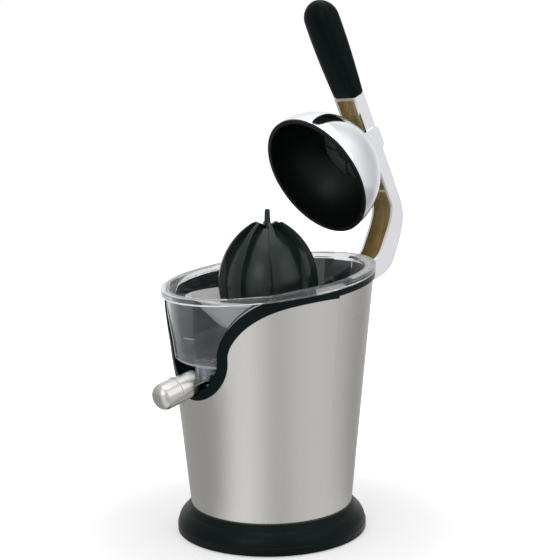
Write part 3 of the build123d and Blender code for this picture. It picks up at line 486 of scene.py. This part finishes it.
def soft_ring(half_width, half_depth, power, count=48):
    """Points round a superellipse."""
    points = []
    for step in range(count):
        turn = 2 * pi * step / count
        across, deep = cos(turn), sin(turn)
        size = (abs(across) ** power + abs(deep) ** power) ** (-1 / power)
        points.append((half_width * size * across, half_depth * size * deep))
    return points


def ring_faces(rings, count, start=0):
    """Join rings of points into one tube and close both its ends."""
    faces = []
    for ring in range(rings - 1):
        low, high = start + ring * count, start + (ring + 1) * count
        for step in range(count):
            beside = (step + 1) % count
            faces.append([low + step, low + beside, high + beside, high + step])
    last = start + (rings - 1) * count
    return faces + [list(range(start, start + count))[::-1], list(range(last, last + count))]


print("grip leans", round(degrees(lean), 1), "degrees")

# %% Sizes of the rings
# Each ring has a height, a half width, a half depth and an edge power, from foot to tip.
grip_length, grip_end = 0.0828, 0.0150
wider, deeper, body_softer, end_softer = 0.0014, 0.0038, 1.2, 0.6
body_steps, end_steps, tip_size = 12, 11, 0.03
ring_sizes = [(0.0004, 0.0125, 0.0063, 4.0), (0.0008, 0.0132, 0.0069, 4.0),
              (0.0018, 0.0136, 0.0072, 4.0)]
foot, width, depth, power = ring_sizes[-1]
shoulder = grip_length - grip_end
for step in range(1, body_steps + 1):
    share = step / body_steps
    swell = sin(pi / 2 * share)
    ring_sizes.append((foot + (shoulder - foot) * share, width + wider * swell,
                       depth + deeper * swell, power - body_softer * share))
_, width, depth, power = ring_sizes[-1]
for step in range(1, end_steps + 1):
    share = step / end_steps
    small = max(cos(pi / 2 * share), tip_size)
    ring_sizes.append((shoulder + grip_end * sin(pi / 2 * share), width * small, depth * small,
                       power - end_softer * share))
print("rings", len(ring_sizes))

# %% Grip
sideways = Vector((1, 0, 0))
rings = [[tang + grip_up * height + sideways * across + grip_back * deep
          for across, deep in soft_ring(half_width, half_depth, power)]
         for height, half_width, half_depth, power in ring_sizes]
points = [point for ring in rings for point in ring]
faces = ring_faces(len(rings), len(rings[0]))
mesh = bpy.data.meshes.new("grip_skin")
mesh.from_pydata(points, [], faces)
mesh.shade_smooth()
mesh.materials.append(finishes["soft_grip"].owner)
grip_skin = add("grip_skin", mesh)
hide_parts("grip")
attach(grip_skin, "lever")
print("grip of", len(rings), "rings")

# %% [markdown]
# ## The bowl's bright edge
# Clear plastic carries light inside itself and lets it out where a wall ends, so the border of the
# bowl's front beside the black trim shines. A mask in the shader could brighten it, but a bead also
# catches the lamps. The border is found on the bowl's own mesh: sharp edges that lie on the
# front's face. They are chained into lines, and a thin round bead follows each one; its near-white
# colour is painted glow for that light.

# %% Find the border
shell_foot_radius, shell_foot_height, shell_flare = 0.06475, 0.022, 0.1015
front_inset, front_slack, front_end = 0.0006, 0.00012, -0.004
weld, sharp = 0.000002, 0.5
skin = bmesh.new()
skin.from_mesh(nodes["juice_bowl"].data)
bmesh.ops.remove_doubles(skin, verts=skin.verts, dist=weld)


def on_front(point):
    """True on the face of the bowl's front, which is set a little inside the steel's face."""
    radius = shell_foot_radius + shell_flare * (point.z - shell_foot_height) - front_inset
    return abs(point.xy.length - radius) < front_slack and point.y < front_end


border = [edge for edge in skin.edges if edge.is_manifold and edge.calc_face_angle() > sharp
          and all(on_front(vert.co) for vert in edge.verts)]
near = {}
for edge in border:
    for vert in edge.verts:
        near.setdefault(vert.index, []).append(edge.other_vert(vert).index)
places = {vert.index: vert.co.copy() for edge in border for vert in edge.verts}
skin.free()
print("border of", len(border), "edges")

# %% Chain the border
lines = []
while near:
    start = next((index for index, others in near.items() if len(others) == 1), next(iter(near)))
    line = [start]
    while line[-1] in near:
        onward = [index for index in near.pop(line[-1]) if index in near]
        line += onward[:1]
    lines.append([places[index] for index in line])
print("bead lines", [len(line) for line in lines])

# %% Bowl edge bead
shortest = 5
bead = bpy.data.curves.new("bowl_edge_glow", "CURVE")
bead.dimensions = "3D"
bead.bevel_depth = 0.00042
bead.bevel_resolution = 3
bead.use_fill_caps = True
for line in lines:
    if len(line) >= shortest:
        spline = bead.splines.new("POLY")
        spline.points.add(len(line) - 1)
        for knot, place in zip(spline.points, line):
            knot.co = (*place, 1)
print("bead", round(2000 * bead.bevel_depth, 2), "mm thick")

# %% Bead finish
bright_edge = Finish("bright_edge")
glint = bright_edge.noise(scale=180, detail=2)
# Painted glow: the bead is near white for the light that leaves the bowl's wall.
bright_edge.set(Base_Color=bright_edge.blend(glint, (0.80, 0.85, 0.90), (0.96, 0.98, 1.0)))
bright_edge.set(Roughness=0.12 + 0.1 * glint)
bead.materials.append(bright_edge.owner)
bowl_edge_glow = add("bowl_edge_glow", bead)
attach(bowl_edge_glow, "housing")
print("bead of", len(bead.splines), "lines")

# %% [markdown]
# ## The hub inside the dome
# In the middle of the liner a raised hub presses the fruit onto the reamer. It is moulded as four
# pads with narrow slots between them, and its middle stays open for the reamer's pin. Slots could
# be cut out of a full ring, but it is simpler to turn one section through most of a quarter circle,
# step by step, and to close it at both ends. Its foot sinks a hair into the liner, so no gap shows
# from any side.

# %% Points of the hub
# A pad's section: millimetres from the dome's axis, millimetres in from the dome's mouth.
section = [(9.0, 47.6), (9.0, 37.5), (9.8, 36.4), (11.0, 36.0), (18.0, 36.6), (23.0, 38.0),
           (25.0, 39.2), (26.0, 40.6), (26.2, 41.2)]
down_dome = dome_axis.cross(sideways)
pads, first_turn, pad_turn, steps = 4, 24, 82, 16
points, faces = [], []
for pad in range(pads):
    faces += ring_faces(steps + 1, len(section), len(points))
    for step in range(steps + 1):
        swing = radians(first_turn + 360 / pads * pad + pad_turn * step / steps)
        outwards = sideways * cos(swing) + down_dome * sin(swing)
        points += [dome_middle + (outwards * radius + dome_axis * deep) / 1000
                   for radius, deep in section]
print("hub of", len(points), "points")

# %% Dome hub
crease = radians(40)
mesh = bpy.data.meshes.new("dome_hub")
mesh.from_pydata(points, [], faces)
shape = bmesh.new()
shape.from_mesh(mesh)
bmesh.ops.recalc_face_normals(shape, faces=shape.faces)
shape.to_mesh(mesh)
shape.free()
mesh.shade_smooth()
mesh.set_sharp_from_angle(angle=crease)
mesh.materials.append(finishes["liner"].owner)
dome_hub = add("dome_hub", mesh)
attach(dome_hub, "lever")
print("hub of", len(faces), "faces")

# %% [markdown]
# ## The return spring
# Under the reamer's shaft a steel spring lifts it again after each press. The wire is made here in
# the rigid part's place, from its foot on the gearbox cover to the top of the part's box; it keeps
# that height and does not flatten with the shaft's travel. A curve with a round bevel could make the
# wire too. A tube of small rings that climbs a helix takes the grip's own helper once more.

# %% Return spring
low, high = [Vector(corner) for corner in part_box("return_spring")]
wire, coil, turns, steps, sides = 0.0008, 0.009, 4, 160, 10
points = []
for step in range(steps + 1):
    turn = 2 * pi * turns * step / steps
    height = low.z + wire + (high.z - low.z - 2 * wire) * step / steps
    for side in range(sides):
        bend = 2 * pi * side / sides
        out = coil + wire * cos(bend)
        points.append((out * cos(turn), out * sin(turn), height + wire * sin(bend)))
mesh = bpy.data.meshes.new("spring_wire")
mesh.from_pydata(points, [], ring_faces(steps + 1, sides))
mesh.shade_smooth()
mesh.materials.append(finishes["plain_steel"].owner)
spring_wire = add("spring_wire", mesh)
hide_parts("return_spring")
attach(spring_wire, "housing")
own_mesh(spring_wire)

# %% [markdown]
# ## The studio that the metal mirrors
# What polished metal shows is not the lamps but the studio around it, and the leaning shell mirrors
# the floor. White panels could stand round the juicer, but they would also light it. So the studio
# is one sum over the direction: a narrow bright strip left of the camera, a broad softer one to the
# right and a paler rear. Floor and world both show this sum to glossy rays only.

# %% Studio bands
studio_base, horizon_lift = 0.45, 0.16
# Each band: its middle, its dark edge and its bright edge in degrees, and its strength.
studio_lights = {"left strip": (-28, 43, 2, 0.57), "right box": (52, 72, 8, 0.36),
                 "rear": (0, 125, 165, 0.28)}


def light_path(finish, ray):
    """1 for rays of this kind, 0 for the others."""
    return finish.node("ShaderNodeLightPath", output=ray)


def along(finish, way, direction):
    """How far a vector goes in one direction."""
    return finish.node("ShaderNodeVectorMath", dot, {0: way, 1: direction}, output="Value")


def studio_bands(finish, way):
    """How bright the studio is in each direction, 0 degrees being the camera's side."""
    side, toward = along(finish, way, right), along(finish, way, back)
    angle = finish.node("ShaderNodeMath", {"operation": "ARCTAN2"}, {0: side, 1: toward})
    total = studio_base
    for middle, dark, bright, strength in studio_lights.values():
        away = abs(angle - radians(middle))
        total = total + strength * finish.step(away, radians(dark), radians(bright))
    return total


print("studio bands", list(studio_lights))

# %% [markdown]
# ## The floor
# The photograph is a product shot on a white sweep, with a faint shadow under the base. A real
# sweep curves up behind the object. Here a flat sheet is enough: it keeps the shadow near the base
# and glows more with distance, until it is as white as the world and no edge shows where they meet.

# %% Floor
reach = 6.0
mesh = bpy.data.meshes.new("floor")
corners = [(-reach, -reach, 0), (reach, -reach, 0), (reach, reach, 0), (-reach, reach, 0)]
mesh.from_pydata(corners, [], [(0, 1, 2, 3)])
floor = add("floor", mesh)
sweep = Finish("white_sweep")
paper = sweep.noise(scale=40, detail=2)
sweep.set(Base_Color=sweep.blend(paper, (0.82, 0.82, 0.82), (0.84, 0.84, 0.84)), Roughness=0.9)
mesh.materials.append(sweep.owner)
print("floor", 2 * reach, "m wide")

# %% Glow of the floor
# Distances from the middle are squared, in square metres.
near_glow, glow_start, glow_full = 0.45, 0.008, 0.07
lift_start, lift_full = 0.7, 2.5
x, y, _ = sweep.axes()
from_middle = x * x + y * y
far = sweep.step(from_middle, glow_start, glow_full)
seen = light_path(sweep, "Is Camera Ray") + light_path(sweep, "Is Transmission Ray")
glow_tone = (near_glow + (1 - near_glow) * far) * seen
glow = sweep.node("ShaderNodeEmission", sockets={"Color": glow_tone})
paper_shader = Value(sweep.tree, sweep.shader.outputs[0])
both = sweep.node("ShaderNodeAddShader", sockets={0: paper_shader, 1: glow})
spot = sweep.node("ShaderNodeTexCoord", output="Object")
distant = horizon_lift * sweep.step(from_middle, lift_start, lift_full)
mirrored = sweep.node("ShaderNodeEmission", sockets={"Color": studio_bands(sweep, spot) + distant})
glossy = light_path(sweep, "Is Glossy Ray")
shown = sweep.node("ShaderNodeMixShader", sockets={0: glossy, 1: both, 2: mirrored})
sweep.tree.links.new(shown.socket, sweep.tree.nodes["Material Output"].inputs["Surface"])
print("floor finish of", len(sweep.tree.nodes), "nodes")

# %% [markdown]
# ## The world
# To the camera, and through the clear bowl, the world is plain white. Metal sees the bands and a
# brighter ceiling above them. All other rays get one soft fill, so that the colours render about as
# they are written.

# %% World
ceiling_start, ceiling_full, ceiling_lift = 0.3, 0.8, 0.22
soft_fill = 0.4
world = bpy.data.worlds.new("studio")
bpy.context.scene.world = world
studio = Finish("studio", world)
way = studio.node("ShaderNodeTexCoord", output="Generated")
ceiling = studio.step(along(studio, way, (0, 0, 1)), ceiling_start, ceiling_full)
bands = studio_bands(studio, way) + horizon_lift + ceiling_lift * ceiling
clear_view = light_path(studio, "Is Camera Ray") + light_path(studio, "Is Transmission Ray")
glossy = light_path(studio, "Is Glossy Ray")
lit = glossy * bands + (1 - glossy) * soft_fill
studio.set(Color=clear_view + (1 - clear_view) * lit, Strength=1.0)
print("world of", len(studio.tree.nodes), "nodes")

# %% [markdown]
# ## The lamps
# Two soft lamps stand at the sides and one hangs above, as round a small product table. Small lamps
# would throw hard shadows, so these are wide and weak: they shape the bowl and the black mouldings
# and lay a soft shadow, without clipping the steel to white.


# %% Lamps
def soft_lamp(name, place, size, power, aim_height=0.2):
    """A square soft lamp that faces the bowl."""
    lamp = bpy.data.lights.new(name, "AREA")
    lamp.shape = "SQUARE"
    lamp.size = size
    lamp.energy = power
    holder = add(name, lamp)
    holder.location = place
    aim = Vector((0, 0, aim_height)) - Vector(place)
    holder.rotation_euler = aim.to_track_quat("-Z", "Y").to_euler()


soft_lamp("left_softbox", (0.65, -1.46, 0.9), size=0.8, power=2.4)
soft_lamp("right_softbox", (1.6, 0.4, 0.9), size=1.2, power=2.4)
soft_lamp("top_softbox", (0, 0, 1.8), size=1.4, power=5)
print("lamps aimed at the bowl")
